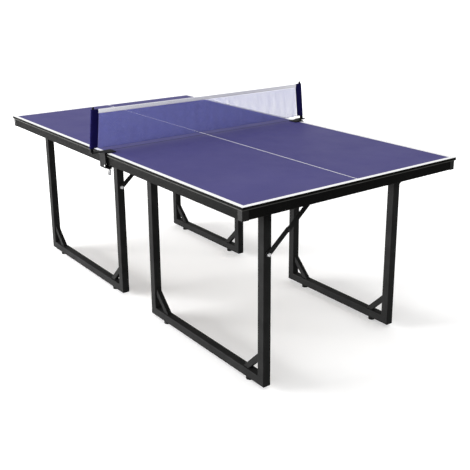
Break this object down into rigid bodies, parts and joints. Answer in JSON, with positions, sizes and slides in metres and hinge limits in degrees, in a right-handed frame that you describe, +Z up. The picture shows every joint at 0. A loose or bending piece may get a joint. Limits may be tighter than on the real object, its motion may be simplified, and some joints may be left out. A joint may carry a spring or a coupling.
{
  "type": "folding table tennis table",
  "caption": "Table tennis table in two free-standing halves with folding U-shaped tube legs, knee braces and a clip-on net.",
  "frame": {"origin": "on the floor, below the middle of the net, at the centre of the whole table", "axes": "+X along the table towards the right half, +Y from the front side to the back side, +Z up"},
  "size_m": [2, 1.2026, 0.954],
  "materials": {
    "playing_surface": "satin blue-violet playing paint with white lines",
    "edge_trim": "matt black moulding",
    "frame_paint": "satin black powder coat on steel tube",
    "guard_plastic": "soft gloss black",
    "foot_rubber": "matt",
    "bolt_steel": "bright zinc plate",
    "black_bolt_steel": "blackened and oiled steel",
    "screw_steel": "bright zinc plate",
    "clamp_paint": "satin black powder coat",
    "net_cloth": "open knotted mesh",
    "tape_cloth": "woven tape",
    "sleeve_cloth": "navy woven nylon",
    "cord_braid": "braided cord"
  },
  "bodies": {
    "right_half": {"right_top_board": "playing_surface", "right_edge_band": "edge_trim", "right_board_screws": "bolt_steel", "right_side_rails": "frame_paint", "right_end_rail": "frame_paint", "right_centre_rail": "frame_paint", "right_cross_tubes": "frame_paint", "right_corner_guards": "guard_plastic", "right_hinge_plates": "frame_paint", "right_pivot_bolts": "black_bolt_steel", "right_brace_bracket": "frame_paint", "front_net_clamp": "clamp_paint", "back_net_clamp": "clamp_paint", "front_net_post": "clamp_paint", "back_net_post": "clamp_paint", "net_mesh": "net_cloth", "net_top_tape": "tape_cloth", "net_sleeves": "sleeve_cloth", "net_cord": "cord_braid"},
    "left_half": {"left_top_board": "playing_surface", "left_edge_band": "edge_trim", "left_board_screws": "bolt_steel", "left_side_rails": "frame_paint", "left_end_rail": "frame_paint", "left_centre_rail": "frame_paint", "left_cross_tubes": "frame_paint", "left_corner_guards": "guard_plastic", "left_hinge_plates": "frame_paint", "left_pivot_bolts": "black_bolt_steel", "left_brace_bracket": "frame_paint"},
    "right_front_leg_frame": {"right_front_legs": "frame_paint", "right_front_foot_rail": "frame_paint", "right_front_gussets": "frame_paint", "right_front_feet": "foot_rubber", "right_brace_bolt": "bolt_steel"},
    "right_back_leg_frame": {"right_back_legs": "frame_paint", "right_back_foot_rail": "frame_paint", "right_back_gussets": "frame_paint", "right_back_feet": "foot_rubber", "right_lock_bolt": "black_bolt_steel"},
    "right_lower_brace_bar": {"right_lower_brace": "frame_paint"},
    "right_upper_brace_bar": {"right_upper_brace": "frame_paint", "right_brace_rivet": "black_bolt_steel"},
    "left_front_leg_frame": {"left_front_legs": "frame_paint", "left_front_foot_rail": "frame_paint", "left_front_gussets": "frame_paint", "left_front_feet": "foot_rubber", "left_brace_bolt": "bolt_steel"},
    "left_back_leg_frame": {"left_back_legs": "frame_paint", "left_back_foot_rail": "frame_paint", "left_back_gussets": "frame_paint", "left_back_feet": "foot_rubber", "left_lock_bolt": "black_bolt_steel"},
    "left_lower_brace_bar": {"left_lower_brace": "frame_paint"},
    "left_upper_brace_bar": {"left_upper_brace": "frame_paint", "left_brace_rivet": "black_bolt_steel"},
    "front_clamp_pad_body": {"front_clamp_pad": "foot_rubber"},
    "front_clamp_screw_body": {"front_clamp_screw": "screw_steel"},
    "back_clamp_pad_body": {"back_clamp_pad": "foot_rubber"},
    "back_clamp_screw_body": {"back_clamp_screw": "screw_steel"}
  },
  "joints": [
    {"name": "left_half_pull_away", "type": "slide", "parent": "right_half", "child": "left_half", "axis": [-1, 0, 0], "range_m": [0, 0.4]},
    {"name": "right_front_fold", "type": "hinge", "parent": "right_half", "child": "right_front_leg_frame", "pos_m": [0.535, -0.39, 0.7035], "axis": [1, 0, 0], "range_deg": [0, 90]},
    {"name": "right_back_fold", "type": "hinge", "parent": "right_half", "child": "right_back_leg_frame", "pos_m": [0.535, 0.357, 0.666], "axis": [-1, 0, 0], "range_deg": [0, 90]},
    {"name": "right_lower_brace_turn", "type": "hinge", "parent": "right_front_leg_frame", "child": "right_lower_brace_bar", "pos_m": [0.942, -0.39, 0.5415], "axis": [1, 0, 0], "range_deg": [0, 40.09]},
    {"name": "right_upper_brace_turn", "type": "hinge", "parent": "right_half", "child": "right_upper_brace_bar", "pos_m": [0.9454, -0.18, 0.722], "axis": [1, 0, 0], "range_deg": [-40.69, 0]},
    {"name": "left_front_fold", "type": "hinge", "parent": "left_half", "child": "left_front_leg_frame", "pos_m": [-0.535, -0.39, 0.7035], "axis": [1, 0, 0], "range_deg": [0, 90]},
    {"name": "left_back_fold", "type": "hinge", "parent": "left_half", "child": "left_back_leg_frame", "pos_m": [-0.535, 0.357, 0.666], "axis": [-1, 0, 0], "range_deg": [0, 90]},
    {"name": "left_lower_brace_turn", "type": "hinge", "parent": "left_front_leg_frame", "child": "left_lower_brace_bar", "pos_m": [-0.128, -0.39, 0.5415], "axis": [1, 0, 0], "range_deg": [0, 40.09]},
    {"name": "left_upper_brace_turn", "type": "hinge", "parent": "left_half", "child": "left_upper_brace_bar", "pos_m": [-0.1246, -0.18, 0.722], "axis": [1, 0, 0], "range_deg": [-40.69, 0]},
    {"name": "front_clamp_open", "type": "slide", "parent": "right_half", "child": "front_clamp_pad_body", "axis": [0, 0, -1], "range_m": [0, 0.005]},
    {"name": "front_screw_turn", "type": "hinge", "parent": "front_clamp_pad_body", "child": "front_clamp_screw_body", "pos_m": [0.04, -0.5325, 0.68], "axis": [0, 0, -1], "range_deg": [0, 600.1]},
    {"name": "back_clamp_open", "type": "slide", "parent": "right_half", "child": "back_clamp_pad_body", "axis": [0, 0, -1], "range_m": [0, 0.005]},
    {"name": "back_screw_turn", "type": "hinge", "parent": "back_clamp_pad_body", "child": "back_clamp_screw_body", "pos_m": [0.04, 0.5325, 0.68], "axis": [0, 0, -1], "range_deg": [0, 600.1]}
  ],
  "couplings": [
    {"joint": "right_lower_brace_turn", "follows": "right_front_fold", "ratio": 0.44533},
    {"joint": "right_upper_brace_turn", "follows": "right_front_fold", "ratio": -0.452},
    {"joint": "left_lower_brace_turn", "follows": "left_front_fold", "ratio": 0.44533},
    {"joint": "left_upper_brace_turn", "follows": "left_front_fold", "ratio": -0.452},
    {"joint": "front_screw_turn", "follows": "front_clamp_open", "rad_per_m": 2094.4},
    {"joint": "back_screw_turn", "follows": "back_clamp_open", "rad_per_m": 2094.4}
  ]
}
